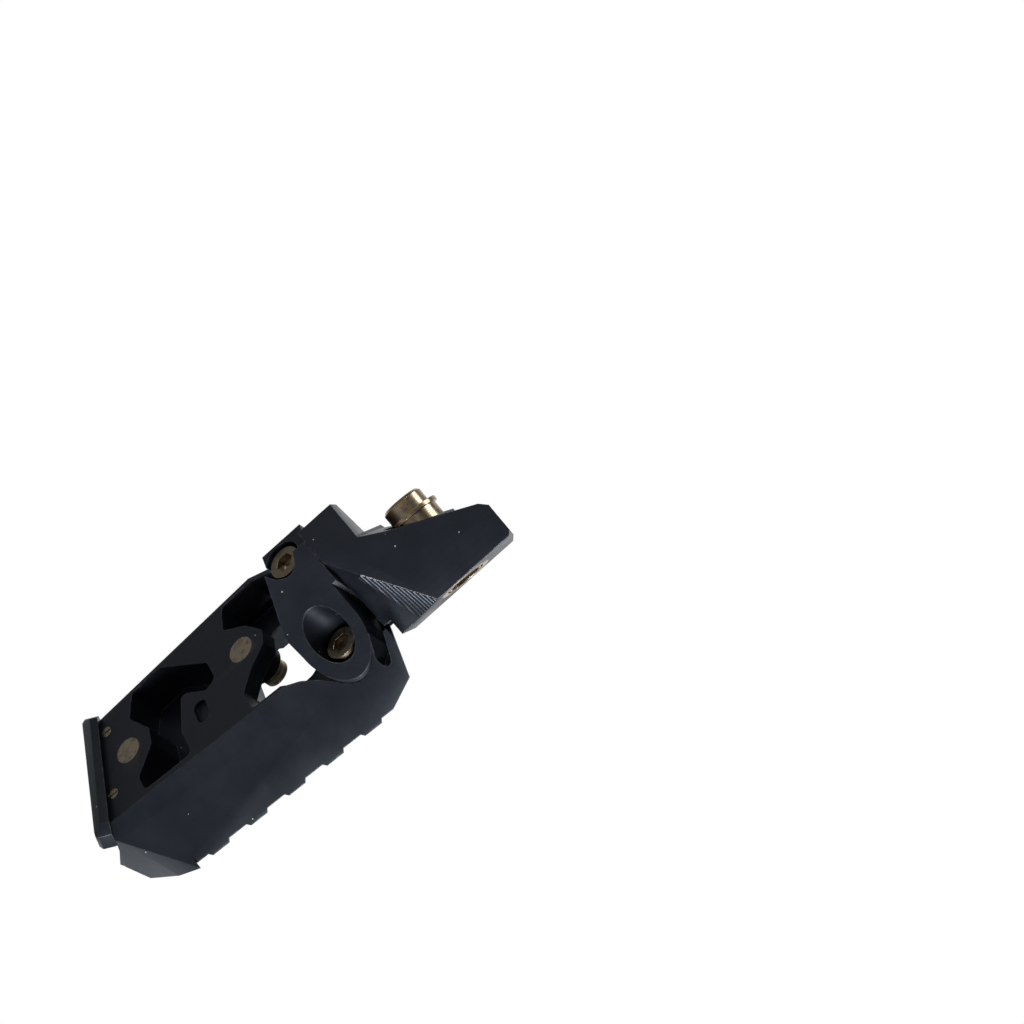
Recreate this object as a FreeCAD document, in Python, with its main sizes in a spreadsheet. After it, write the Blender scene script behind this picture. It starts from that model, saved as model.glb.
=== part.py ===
import FreeCAD, Part
import os
import Sketcher

# Folding motorcycle foot peg, left hand.
# The origin is the middle of the pivot pin. +X runs outward along the peg, +Z is up towards the tread,
# and +Y is the side away from the sloped flank. The pivot pin lies at 45 degrees in the Y-Z plane.

doc = FreeCAD.newDocument("foot_peg")
sheet = doc.addObject("Spreadsheet::Sheet", "sizes")

# Driving dimensions, in millimetres and degrees.
SIZES = {
    # Peg body, a milled bar with a flat strip underneath and a sloped flank.
    "strip_level": -3.1,
    "body_depth": 19.0,
    "body_inner_x": 24.0,
    "body_outer_x": 124.5,
    "flank_angle": 50.0,
    "ridge_angle": 5.33,
    "ridge_offset": 13.42,
    "rear_edge_y": 38.0,
    "rear_outer_y": 34.7,
    "rear_taper": 2.6,
    "end_skew": 11.6,
    "inner_corner_y": 22.0,
    "rear_inner_x": 57.0,
    "end_lean": 26.5,
    "ridge_end_y": -1.9,
    "nose_plan_angle": 31.3,
    "nose_undercut": 16.0,
    "nose_setback": 12.5,
    "strip_web": 5.5,
    "pocket_floor": 7.0,
    "pocket_radius": 1.8,
    "ridge_wall": 1.2,
    "rear_wall": 1.1,
    # Tread teeth and the window between the toothed rails.
    "tooth_pitch": 14.5,
    "tooth_depth": 0.8,
    "tooth_gap": 10.5,
    "tooth_slope": 2.0,
    "tooth_count": 7.0,
    "first_gap_x": 34.1,
    "window_x": 52.0,
    "window_y": 2.0,
    "window_length": 23.0,
    "window_width": 26.0,
    "window_radius": 4.0,
    # Studs with round nuts.
    "stud_radius": 4.0,
    "stud_length": 15.1,
    "stud_inner_x": 67.0,
    "stud_outer_x": 111.4,
    "stud_y": 16.8,
    "nut_radius": 5.6,
    "nut_height": 5.0,
    "nut_room": 0.6,
    "nut_headroom": 1.5,
    # Shallow oval recess in the strip.
    "oval_x": 85.2,
    "oval_y": 8.0,
    "oval_width": 4.6,
    "oval_length": 8.5,
    "oval_depth": 1.6,
    # End plate with two tongues, held by slotted grub screws.
    "plate_depth": 5.0,
    "plate_length": 44.0,
    "plate_proud": 1.6,
    "plate_height": 10.5,
    "plate_corner": 2.6,
    "plate_bevel": 1.0,
    "plate_overhang": 3.4,
    "tongue_radius": 2.2,
    "tongue_length": 8.0,
    "tongue_front": 9.4,
    "tongue_spacing": 22.9,
    "tongue_level": 1.2,
    "grub_radius": 1.6,
    "grub_setback": 4.9,
    "grub_slot": 0.6,
    "grub_slot_depth": 0.7,
    # Clamp block, seated in a recess of the body.
    "seat_level": 8.0,
    "flat_offset": 9.0,
    "block_inner_x": 26.2,
    "block_outer_x": 48.8,
    "block_waist_x": 41.7,
    "block_waist_y": 9.7,
    "block_tip": 22.7,
    "block_rear_y": 20.0,
    "block_nose_radius": 10.2,
    "block_edge_lean": 7.0,
    "seat_gap": 0.15,
    # Socket head bolts, washers and dowels.
    "bolt_radius": 3.0,
    "bolt_head_radius": 5.0,
    "bolt_head_height": 5.0,
    "bolt_thread_depth": 5.0,
    "socket_width": 5.0,
    "socket_depth": 3.0,
    "bolt_front_x": 38.0,
    "bolt_front_y": -7.2,
    "bolt_rear_x": 36.0,
    "bolt_rear_y": 13.0,
    "front_web": 2.5,
    "rear_web": 21.0,
    "counterbore_radius": 6.3,
    "washer_radius": 5.9,
    "washer_height": 1.0,
    "dowel_radius": 2.0,
    "dowel_length": 8.0,
    "dowel_x": 30.2,
    "dowel_y": -0.2,
    "dowel_spacing": 14.4,
    # Hinge lug, a flat tongue with a shoulder and a tenon.
    "lug_tip": 22.0,
    "lug_half_height": 9.0,
    "lug_near": 14.15,
    "lug_tip_width": 11.5,
    "lug_waist_x": 6.0,
    "lug_waist": 9.7,
    "lug_root_x": 14.1,
    "lug_root": 14.05,
    "shoulder_x": 13.4,
    "shoulder_tip": 25.65,
    "shoulder_end_x": 26.0,
    "lip_y": 14.4,
    "notch_radius": 1.9,
    "tenon_length": 14.2,
    "tenon_width": 13.0,
    "tenon_y": 5.0,
    "tenon_depth": 8.0,
    "tenon_top": 2.0,
    "sweep_radius": 20.0,
    "sweep_reach": 14.1,
    "sweep_angle": 56.7,
    "sweep_start_x": 6.9,
    # Pivot sleeve and its two flanged bushes.
    "sleeve_length": 28.3,
    "sleeve_radius": 6.25,
    "pin_radius": 5.0,
    "sleeve_chamfer": 0.8,
    "running_clearance": 0.05,
    "bush_wall": 1.0,
    "near_flange_radius": 8.3,
    "near_flange": 1.5,
    "bush_length": 11.0,
    "far_boss": 8.2,
    "far_flange_radius": 8.2,
    "far_flange": 1.2,
    "boss_wall": 1.6,
    "spacer_wall": 0.8,
    "fit_clearance": 0.05,
    "overshoot": 30.0,
}

for row, (alias, number) in enumerate(SIZES.items(), start=1):
    sheet.set("A%d" % row, alias)
    sheet.set("B%d" % row, str(number))
    sheet.setAlias("B%d" % row, alias)
doc.recompute()

UP = FreeCAD.Vector(0, 0, 1)
ALONG = FreeCAD.Vector(1, 0, 0)
ACROSS = FreeCAD.Vector(0, 1, 0)
# Sketch planes: the plan view, the end view with its x axis on +Y, and the side view with its x axis on +X.
PLAN = FreeCAD.Rotation()
END = FreeCAD.Rotation(ACROSS, UP, ALONG, "XYZ")
SIDE = FreeCAD.Rotation(ALONG, UP, ACROSS.negative(), "XYZ")
# The hinge plane: its x axis is +X, its y axis runs along the pivot pin, its normal points into the part.
PIN = FreeCAD.Vector(0, 1, -1).normalize()
INWARD = FreeCAD.Vector(0, 1, 1).normalize()
HINGE = FreeCAD.Rotation(ALONG, PIN, INWARD, "XYZ")
# A turned piece on the pivot pin: its own Z axis runs along the pin.
ON_PIN = FreeCAD.Rotation(ALONG, INWARD.negative(), PIN, "XYZ")


def size(expression):
    """Return the number that an expression in the sheet's names gives now."""
    return float(sheet.evalExpression(expression))


def add(kind, name, **bindings):
    """Add one object and tie its sizes to the sheet."""
    item = doc.addObject(kind, name)
    for prop, expression in bindings.items():
        item.setExpression(prop.replace("_", "."), expression)
    return item


def pin_points(sketch, corners):
    """Tie each corner of a closed outline to its two expressions."""
    for index, corner in enumerate(corners):
        for kind, expression in zip(("DistanceX", "DistanceY"), corner):
            datum = sketch.addConstraint(
                Sketcher.Constraint(kind, -1, 1, index, 1, size(expression)))
            sketch.setExpression("Constraints[%d]" % datum, expression)


def outline(name, corners, rotation, place=FreeCAD.Vector()):
    """Draw a closed outline of straight edges on a plane."""
    sketch = doc.addObject("Sketcher::SketchObject", name)
    sketch.Placement = FreeCAD.Placement(place, rotation)
    points = [FreeCAD.Vector(size(x), size(y), 0) for x, y in corners]
    for start, end in zip(points, points[1:] + points[:1]):
        sketch.addGeometry(Part.LineSegment(start, end), False)
    for index in range(len(points)):
        after = (index + 1) % len(points)
        sketch.addConstraint(Sketcher.Constraint("Coincident", index, 2, after, 1))
    pin_points(sketch, corners)
    return sketch


def prism(name, corners, rotation, length, start="0", both_ways=False):
    """Extrude an outline along its plane's normal."""
    normal = rotation.multVec(UP)
    sketch = outline(name + "_outline", corners, rotation, normal * size(start))
    solid = doc.addObject("Part::Extrusion", name)
    solid.Base = sketch
    solid.DirMode = "Custom"
    solid.Dir = normal
    solid.Solid = True
    solid.Symmetric = both_ways
    solid.setExpression("LengthFwd", length)
    return solid


def cylinder(name, radius, length, x="0", y="0", z="0"):
    """Make an upright cylinder whose foot stands at a point."""
    solid = add("Part::Cylinder", name, Radius=radius, Height=length)
    for axis, expression in zip("xyz", (x, y, z)):
        solid.setExpression("Placement.Base." + axis, expression)
    return solid


def on_pin(name, radius, length, start):
    """Make a cylinder on the pivot pin that starts at a distance along it."""
    solid = add("Part::Cylinder", name, Radius=radius, Height=length)
    solid.Placement = FreeCAD.Placement(PIN * size(start), ON_PIN)
    return solid


def fuse(name, *pieces):
    """Join pieces into one solid."""
    joined = doc.addObject("Part::MultiFuse", name)
    joined.Shapes = list(pieces)
    joined.Refine = True
    return joined


def cut(name, base, *tools):
    """Take the tools out of a solid."""
    tool = tools[0] if len(tools) == 1 else fuse(name + "_tools", *tools)
    result = doc.addObject("Part::Cut", name)
    result.Base = base
    result.Tool = tool
    result.Refine = True
    return result


def keep_common(name, *pieces):
    """Keep only what all the pieces share."""
    result = doc.addObject("Part::MultiCommon", name)
    result.Shapes = list(pieces)
    result.Refine = True
    return result


def edges_where(shape, wanted):
    """List the numbers of a shape's straight edges that a test picks."""
    numbers = []
    for number, edge in enumerate(shape.Edges, start=1):
        if edge.Curve.TypeId == "Part::GeomLine" and wanted(edge):
            numbers.append(number)
    return numbers


def parallel_to(direction):
    """Make a test for edges that run along a direction."""
    return lambda edge: abs(edge.tangentAt(edge.FirstParameter).dot(direction)) > 1 - 1e-6


def dress(kind, name, base, radius, wanted):
    """Round or chamfer the edges that a test picks."""
    doc.recompute()
    dressed = doc.addObject(kind, name)
    dressed.Base = base
    dressed.Edges = [(number, size(radius), size(radius)) for number in edges_where(base.Shape, wanted)]
    return dressed


def rounded_prism(name, corners, rotation, length, start, radius):
    """Extrude an outline and round all its corners."""
    raw = prism(name + "_raw", corners, rotation, length, start)
    return dress("Part::Fillet", name, raw, radius, parallel_to(rotation.multVec(UP)))


# Expressions that several pieces share.
TREAD = "(sizes.strip_level + sizes.body_depth)"
WEB_TOP = "(sizes.strip_level + sizes.strip_web)"
FLOOR = "(%s - sizes.pocket_floor)" % TREAD
FLANK_RUN = "(sizes.body_depth / tan(sizes.flank_angle))"
BORE = "(sizes.sleeve_radius + sizes.running_clearance)"
BUSH = "(%s + sizes.bush_wall)" % BORE
OVER = "sizes.overshoot"


def ridge_y(x):
    """Y of the ridge between strip and flank at a place along the peg."""
    return "(%s * tan(sizes.ridge_angle) - sizes.ridge_offset / cos(sizes.ridge_angle))" % x


def rear_y(x):
    """Y of the inside of the thin rear wall at a place along the peg."""
    run = "(sizes.body_outer_x - sizes.rear_inner_x)"
    drop = "(sizes.rear_edge_y - sizes.rear_outer_y)"
    return "sizes.rear_edge_y - (%s - sizes.rear_inner_x) * %s / %s - sizes.rear_wall" % (x, drop, run)


def below(name, radius, x, y, top):
    """Make an upright cutter that runs from under the part up to a level."""
    start = "-sizes.overshoot"
    return cylinder(name, radius, "%s + %s" % (top, OVER), x, y, start)


def dowel_place(index):
    """X of a dowel between clamp block and body."""
    return "sizes.dowel_x + %d * sizes.dowel_spacing" % index


# Peg body


def body_bar():
    """The bar's plan outline at full depth, with its flank sloped and its nose undercut."""
    inner = "sizes.body_inner_x"
    far_x = "(sizes.body_outer_x + %s)" % OVER
    corners = [
        (inner, ridge_y(inner) + " - 5.8"),
        (inner + " + 4", ridge_y(inner) + " - 14"),
        (inner + " + 9", ridge_y(inner) + " - 18"),
        (far_x, ridge_y(far_x) + " - 22"),
        (far_x, "sizes.rear_outer_y - %s * tan(sizes.rear_taper)" % OVER),
        ("sizes.body_outer_x", "sizes.rear_outer_y"),
        ("sizes.rear_inner_x", "sizes.rear_edge_y"),
        (inner + " + 10", "sizes.inner_corner_y + 7"),
        (inner, "sizes.inner_corner_y"),
    ]
    return prism("bar", corners, PLAN, "sizes.body_depth", "sizes.strip_level")


def flank_cutter():
    """The wedge beside the flank, turned to the ridge's direction."""
    foot = "(-sizes.ridge_offset)"
    corners = [
        (foot + " + 2 / tan(sizes.flank_angle)", "sizes.strip_level - 2"),
        (foot + " - %s - 2 / tan(sizes.flank_angle)" % FLANK_RUN, TREAD + " + 2"),
        ("-sizes.ridge_offset - 2 * %s" % OVER, TREAD + " + 2"),
        ("-sizes.ridge_offset - 2 * %s" % OVER, "sizes.strip_level - 2"),
    ]
    turn = FreeCAD.Rotation(UP, size("sizes.ridge_angle"))
    return prism("flank_cutter", corners, turn.multiply(END), "sizes.body_outer_x * 4", both_ways=True)


def end_frame():
    """The outer end's own frame: its origin is the end of the ridge, its Z axis points out of the end face."""
    skew = FreeCAD.Rotation(UP, size("sizes.end_skew"))
    lean = FreeCAD.Rotation(ACROSS, size("sizes.end_lean"))
    corner = FreeCAD.Vector(size("sizes.body_outer_x"), size("sizes.ridge_end_y"), size("sizes.strip_level"))
    return FreeCAD.Placement(corner, skew.multiply(lean).multiply(END))


def end_cutter():
    """A slanted block that trims the outer end to its skewed, overhanging face."""
    block = add("Part::Box", "end_cutter", Length="6 * " + OVER, Width="4 * " + OVER, Height="2 * " + OVER)
    frame = end_frame()
    shift = frame.Rotation.multVec(FreeCAD.Vector(-3, -2, 0) * size(OVER))
    block.Placement = FreeCAD.Placement(frame.Base + shift, frame.Rotation)
    return block


def nose_cutter():
    """A slanted block that takes the corner between the flank and the outer end."""
    block = add("Part::Box", "nose_cutter", Length="4 * " + OVER, Width="2 * " + OVER, Height="4 * " + OVER)
    lean = FreeCAD.Rotation(UP, size("sizes.nose_plan_angle"))
    tilt = FreeCAD.Rotation(ALONG, size("sizes.nose_undercut"))
    place = FreeCAD.Vector(size("sizes.body_outer_x - sizes.nose_setback"),
                           size(ridge_y("(sizes.body_outer_x - sizes.nose_setback)") + " - " + FLANK_RUN), size(TREAD))
    rotation = lean.multiply(tilt)
    corner = FreeCAD.Vector(-2, -2, -2) * size(OVER)
    corner.z = -2 * size(OVER)
    block.Placement = FreeCAD.Placement(place + rotation.multVec(corner), rotation)
    return block


def tooth_gaps():
    """Shallow gaps with sloped sides across the tread, which leave the teeth."""
    gaps = []
    for index in range(int(size("sizes.tooth_count"))):
        left = "(sizes.first_gap_x + %d * sizes.tooth_pitch)" % index
        right = "(%s + sizes.tooth_gap)" % left
        bottom = TREAD + " - sizes.tooth_depth"
        corners = [
            (left, TREAD + " + 1"),
            (left + " + sizes.tooth_slope", bottom),
            (right + " - sizes.tooth_slope", bottom),
            (right, TREAD + " + 1"),
        ]
        gaps.append(prism("tooth_gap_%d" % index, corners, SIDE, "6 * " + OVER, both_ways=True))
    return gaps


def tread_window():
    """The window between the toothed rails, down to the strip's web."""
    x, y = "sizes.window_x", "sizes.window_y"
    far_x, far_y = x + " + sizes.window_length", y + " + sizes.window_width"
    corners = [(x, y), (far_x, y), (far_x, far_y), (x, far_y)]
    return rounded_prism("window", corners, PLAN, "sizes.body_depth", WEB_TOP, "sizes.window_radius")


def outer_pocket():
    """The winding pocket in the outer half of the strip, which leaves a thin wall at the rear edge."""
    middle = "sizes.stud_outer_x"
    wall = " + sizes.ridge_wall + 0.8"
    corners = [
        (middle + " - 18.0", rear_y("(%s - 18)" % middle)),
        (middle + " - 33.0", "22.5"),
        (middle + " - 33.8", "15.2"),
        (middle + " - 29.8", "13.4"),
        (middle + " - 21.8", "19.8"),
        (middle + " - 18.0", "7.0"),
        (middle + " - 18.8", ridge_y("(%s - 18)" % middle) + wall),
        (middle + " - 0.8", ridge_y("(%s - 1)" % middle) + wall),
        (middle + " - 0.3", "5.0"),
        (middle + " - 7.8", "12.4"),
        (middle + " - 8.6", "18.2"),
        (middle + " - 3.8", "26.8"),
        (middle + " - 7.4", rear_y("(%s - 7)" % middle)),
    ]
    return rounded_prism("outer_pocket", corners, PLAN, FLOOR + " + " + OVER, "-" + OVER,
                         "sizes.pocket_radius")


def inner_pocket():
    """The pocket between the clamp block and the inner stud, which leaves a thin wall at the rear edge."""
    middle = "sizes.stud_inner_x"
    inner = "(sizes.block_waist_x - 0.4)"
    wall = " + sizes.ridge_wall"
    corners = [
        ("sizes.rear_inner_x", "sizes.rear_edge_y - 1.4 * sizes.rear_wall"),
        (inner, "sizes.inner_corner_y + 8"),
        (inner, ridge_y(inner) + wall),
        (middle + " + 3.0", ridge_y(middle) + wall),
        (middle + " + 3.9", "1.6"),
        (middle + " - 0.9", "7.4"),
        (middle + " - 7.4", "12.4"),
        (middle + " - 8.4", "17.2"),
        (middle + " - 3.9", "23.4"),
        (middle + " + 3.2", "28.2"),
        (middle + " + 1.2", rear_y("(%s + 1.2)" % middle)),
    ]
    return rounded_prism("inner_pocket", corners, PLAN, FLOOR + " + " + OVER, "-" + OVER,
                         "sizes.pocket_radius")


def block_plan(name, gap, top, bottom):
    """The clamp block's plan shape with its round front end, grown by a gap."""
    x, y = "sizes.bolt_front_x", "sizes.bolt_front_y"
    grown = "(sizes.block_nose_radius + %s)" % gap
    rear = "sizes.rear_edge_y + 8"
    height = "%s - (%s)" % (top, bottom)
    nose = cylinder(name + "_nose", grown, height, x, y, bottom)
    corners = [
        (x + " - " + grown, y),
        (x + " + " + grown, y),
        ("sizes.block_outer_x + " + gap, y + " / 3"),
        ("sizes.block_waist_x + " + gap, "sizes.block_waist_y"),
        ("sizes.block_waist_x + " + gap, rear),
        ("-sizes.body_inner_x", rear),
        ("-sizes.body_inner_x", y + " + sizes.block_edge_lean"),
        (x + " - " + grown, y + " + sizes.block_edge_lean"),
    ]
    return fuse(name, nose, prism(name + "_slab", corners, PLAN, height, bottom))


def oval_recess():
    """The shallow oval recess in the strip."""
    radius = "sizes.oval_width / 2"
    depth = "sizes.oval_depth + 1"
    start = "sizes.strip_level - 1"
    span = "(sizes.oval_length - sizes.oval_width) / 2"
    ends = [cylinder("oval_end_%s" % side, radius, depth, "sizes.oval_x", "sizes.oval_y %s %s" % (side, span),
                     start) for side in "+-"]
    middle = add("Part::Box", "oval_middle", Length="sizes.oval_width",
                 Width="sizes.oval_length - sizes.oval_width", Height=depth)
    middle.setExpression("Placement.Base.x", "sizes.oval_x - %s" % radius)
    middle.setExpression("Placement.Base.y", "sizes.oval_y - %s" % span)
    middle.setExpression("Placement.Base.z", start)
    return fuse("oval_recess", middle, *ends)


def tongue_frame(index):
    """Placement of a plate tongue: its own Z axis runs into the body, square to the end face."""
    frame = end_frame()
    across = size("sizes.tongue_front + %d * sizes.tongue_spacing" % index)
    rise = size("(sizes.tongue_level - sizes.strip_level) / cos(sizes.end_lean)")
    place = frame.multVec(FreeCAD.Vector(across, rise, 0))
    return FreeCAD.Placement(place, frame.Rotation.multiply(FreeCAD.Rotation(ALONG, 180)))


def tongue(name, index, gap, extra):
    """One round tongue of the end plate, or its bore when grown by a gap."""
    solid = add("Part::Cylinder", name, Radius="sizes.tongue_radius + " + gap,
                Height="sizes.tongue_length + %s + %s" % (gap, extra))
    frame = tongue_frame(index)
    back = frame.Rotation.multVec(UP) * size(extra)
    solid.Placement = FreeCAD.Placement(frame.Base - back, frame.Rotation)
    return solid


def grub_place(index):
    """X and Y of a grub screw over its tongue."""
    frame = tongue_frame(index)
    place = frame.Base + frame.Rotation.multVec(UP) * size("sizes.grub_setback")
    return str(place.x), str(place.y)


def make_peg_body():
    """The milled body."""
    tools = [flank_cutter(), end_cutter(), nose_cutter(), tread_window(), outer_pocket(), inner_pocket(), oval_recess()]
    tools += tooth_gaps()
    tools.append(block_plan("block_recess", "sizes.seat_gap", "sizes.seat_level", "-sizes.overshoot"))
    room_for_lug = add("Part::Box", "lug_room", Height="sizes.seat_level + " + OVER, Width=OVER,
                       Length="sizes.bolt_front_x - sizes.block_nose_radius + 2 - sizes.body_inner_x")
    room_for_lug.setExpression("Placement.Base.x", "sizes.body_inner_x - 1")
    room_for_lug.setExpression("Placement.Base.y", "-sizes.lip_y")
    room_for_lug.setExpression("Placement.Base.z", "-" + OVER)
    tools.append(dress("Part::Fillet", "lug_room_rounded", room_for_lug, "sizes.notch_radius",
                       parallel_to(UP)))
    for side in ("inner", "outer"):
        x = "sizes.stud_%s_x" % side
        reach = "sizes.strip_level + sizes.stud_length + sizes.fit_clearance"
        tools.append(below("stud_bore_" + side, "sizes.stud_radius + sizes.fit_clearance", x,
                           "sizes.stud_y", reach))
    room = "sizes.nut_radius + sizes.nut_room"
    tools.append(cylinder("nut_room", room, "sizes.nut_height + sizes.nut_headroom", "sizes.stud_outer_x",
                          "sizes.stud_y", WEB_TOP))
    for index in range(2):
        tools.append(tongue("tongue_bore_%d" % index, index, "sizes.fit_clearance", "1"))
        x, y = grub_place(index)
        tools.append(below("grub_bore_%d" % index, "sizes.grub_radius + sizes.fit_clearance", x, y,
                           "sizes.tongue_level + 1"))
    thread = "sizes.seat_level + sizes.bolt_thread_depth + sizes.fit_clearance"
    for side in ("front", "rear"):
        place = ("sizes.bolt_%s_x" % side, "sizes.bolt_%s_y" % side)
        tools.append(below("thread_" + side, "sizes.bolt_radius + sizes.fit_clearance", *place, thread))
    for index in range(2):
        tools.append(below("dowel_bore_%d" % index, "sizes.dowel_radius + sizes.fit_clearance",
                           dowel_place(index), "sizes.dowel_y", "sizes.seat_level + sizes.dowel_length / 2"))
    return cut("peg_body", body_bar(), *tools)


# Studs and their nuts


def make_stud(side):
    """A plain round stud, flush with the strip."""
    return cylinder("body_stud_" + side, "sizes.stud_radius", "sizes.stud_length",
                    "sizes.stud_%s_x" % side, "sizes.stud_y", "sizes.strip_level")


def make_nut(side):
    """A round nut on the stud, seated on the strip's web."""
    place = ("sizes.stud_%s_x" % side, "sizes.stud_y", WEB_TOP)
    ring = cylinder("nut_ring_" + side, "sizes.nut_radius", "sizes.nut_height", *place)
    hole = cylinder("nut_hole_" + side, "sizes.stud_radius + sizes.fit_clearance", "sizes.nut_height", *place)
    return cut("stud_nut_" + side, ring, hole)


# End plate


def make_end_plate():
    """The plate across the outer end, with clipped corners, a bevelled outer edge and two tongues."""
    low = "-sizes.plate_proud"
    high = "sizes.plate_height - sizes.plate_proud"
    near = "-sizes.plate_overhang"
    far = "sizes.plate_length - sizes.plate_overhang"
    corners = [(near, low), (far, low), (far, high), (near, high)]
    frame = end_frame()
    normal = frame.Rotation.multVec(UP)
    raw = prism("plate_raw", corners, frame.Rotation, "sizes.plate_depth")
    raw.Base.Placement = FreeCAD.Placement(frame.Base + normal * size("sizes.fit_clearance"), frame.Rotation)
    clipped = dress("Part::Chamfer", "plate_clipped", raw, "sizes.plate_corner", parallel_to(normal))
    reach = size("sizes.plate_depth + sizes.fit_clearance")

    def on_outer_face(edge):
        middle = edge.valueAt((edge.FirstParameter + edge.LastParameter) / 2)
        return abs((middle - frame.Base).dot(normal) - reach) < 1e-3

    bevelled = dress("Part::Chamfer", "plate_bevelled", clipped, "sizes.plate_bevel", on_outer_face)
    tongues = [tongue("tongue_%d" % index, index, "0", "1") for index in range(2)]
    return fuse("end_plate", bevelled, *tongues)


def make_grub_screw(name, index):
    """A slotted grub screw from the strip down onto its tongue."""
    x, y = grub_place(index)
    under_tongue = "(sizes.tongue_radius + sizes.fit_clearance + sizes.grub_radius * sin(sizes.end_lean))"
    axis_level = "(sizes.tongue_level + sizes.grub_setback * sin(sizes.end_lean))"
    top = "(%s - %s / cos(sizes.end_lean))" % (axis_level, under_tongue)
    shank = cylinder(name + "_shank", "sizes.grub_radius", top + " - sizes.strip_level", x, y,
                     "sizes.strip_level")
    slot = add("Part::Box", name + "_slot", Length="sizes.grub_radius * 2 + 1", Width="sizes.grub_slot",
               Height="sizes.grub_slot_depth + 1")
    slot.setExpression("Placement.Base.x", x + " - sizes.grub_radius - 0.5")
    slot.setExpression("Placement.Base.y", y + " - sizes.grub_slot / 2")
    slot.setExpression("Placement.Base.z", "sizes.strip_level - 1")
    return cut(name, shank, slot)


# Clamp block and its fasteners


def clamp_profile(tip, rear):
    """End view shared by block and shoulder: the slanted flat, the tip, the rear wall and the seat."""
    root = "sqrt(2)"
    tip_y = "((%s - sizes.flat_offset) / %s)" % (tip, root)
    tip_z = "((-sizes.flat_offset - %s) / %s)" % (tip, root)
    front_y = "(-sizes.flat_offset * %s - sizes.seat_level)" % root
    seat = "sizes.seat_level - sizes.fit_clearance"
    return [
        (front_y, seat),
        (tip_y, tip_z),
        (rear, "%s + %s - %s" % (tip_z, rear, tip_y)),
        (rear, seat),
    ]


def tenon(name, gap):
    """The lug's tenon, or its mortise when grown by a gap."""
    box = add("Part::Box", name, Length="sizes.tenon_length + 3 + " + gap,
              Width="sizes.tenon_width + 2 * " + gap, Height="sizes.tenon_depth + 2 * " + gap)
    box.setExpression("Placement.Base.x", "sizes.shoulder_end_x - 3")
    box.setExpression("Placement.Base.y", "sizes.tenon_y - " + gap)
    box.setExpression("Placement.Base.z", "sizes.tenon_top - sizes.tenon_depth - " + gap)
    return box


def bolt_seat(side):
    """Level of the face that a bolt's washer presses on."""
    return "(sizes.seat_level - sizes.%s_web)" % side


def make_joint_block():
    """The clamp block with its round front end, counterbores and mortise."""
    start = "sizes.block_inner_x"
    profile = prism("block_profile", clamp_profile("sizes.block_tip", "sizes.block_rear_y"), END,
                    "sizes.block_outer_x + 2 - " + start, start)
    plan = block_plan("block_plan", "0", "sizes.seat_level", "-sizes.overshoot")
    shaped = keep_common("block_shaped", profile, plan)
    tools = [tenon("mortise", "sizes.fit_clearance")]
    for side in ("front", "rear"):
        place = ("sizes.bolt_%s_x" % side, "sizes.bolt_%s_y" % side)
        tools.append(below("counterbore_" + side, "sizes.counterbore_radius", *place, bolt_seat(side)))
        tools.append(below("bolt_way_" + side, "sizes.bolt_radius + 0.3", *place, "sizes.seat_level + 1"))
    for index in range(2):
        tools.append(cylinder("block_dowel_bore_%d" % index, "sizes.dowel_radius + sizes.fit_clearance",
                              "sizes.dowel_length", dowel_place(index), "sizes.dowel_y",
                              "sizes.seat_level - sizes.dowel_length / 2"))
    return cut("joint_block", shaped, *tools)


def make_bolt(side):
    """A socket head bolt: head and shank turned, socket cut to a hexagon."""
    x, y = "sizes.bolt_%s_x" % side, "sizes.bolt_%s_y" % side
    under_head = "(%s - sizes.washer_height)" % bolt_seat(side)
    face = "(%s - sizes.bolt_head_height)" % under_head
    head = cylinder("bolt_head_" + side, "sizes.bolt_head_radius", "sizes.bolt_head_height", x, y, face)
    end = "(sizes.seat_level + sizes.bolt_thread_depth)"
    shank = cylinder("bolt_shank_" + side, "sizes.bolt_radius", end + " - " + face, x, y, face)
    blank = fuse("bolt_blank_" + side, head, shank)
    socket = doc.addObject("Part::Prism", "bolt_socket_" + side)
    socket.Polygon = 6
    socket.setExpression("Circumradius", "sizes.socket_width / 2 / cos(30)")
    socket.setExpression("Height", "sizes.socket_depth + 1")
    for axis, expression in zip("xyz", (x, y, face + " - 1")):
        socket.setExpression("Placement.Base." + axis, expression)
    return cut("joint_bolt_" + side, blank, socket)


def make_washer(side):
    """A plain washer under a bolt head."""
    place = ("sizes.bolt_%s_x" % side, "sizes.bolt_%s_y" % side, "%s - sizes.washer_height" % bolt_seat(side))
    disc = cylinder("washer_disc_" + side, "sizes.washer_radius", "sizes.washer_height", *place)
    hole = cylinder("washer_hole_" + side, "sizes.bolt_radius + 0.2", "sizes.washer_height", *place)
    return cut("joint_washer_" + side, disc, hole)


def make_dowel(name, index):
    """A dowel between the block and the body."""
    return cylinder(name, "sizes.dowel_radius", "sizes.dowel_length - 2 * sizes.fit_clearance",
                    dowel_place(index), "sizes.dowel_y",
                    "sizes.seat_level - sizes.dowel_length / 2 + sizes.fit_clearance")


# Hinge lug


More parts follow.
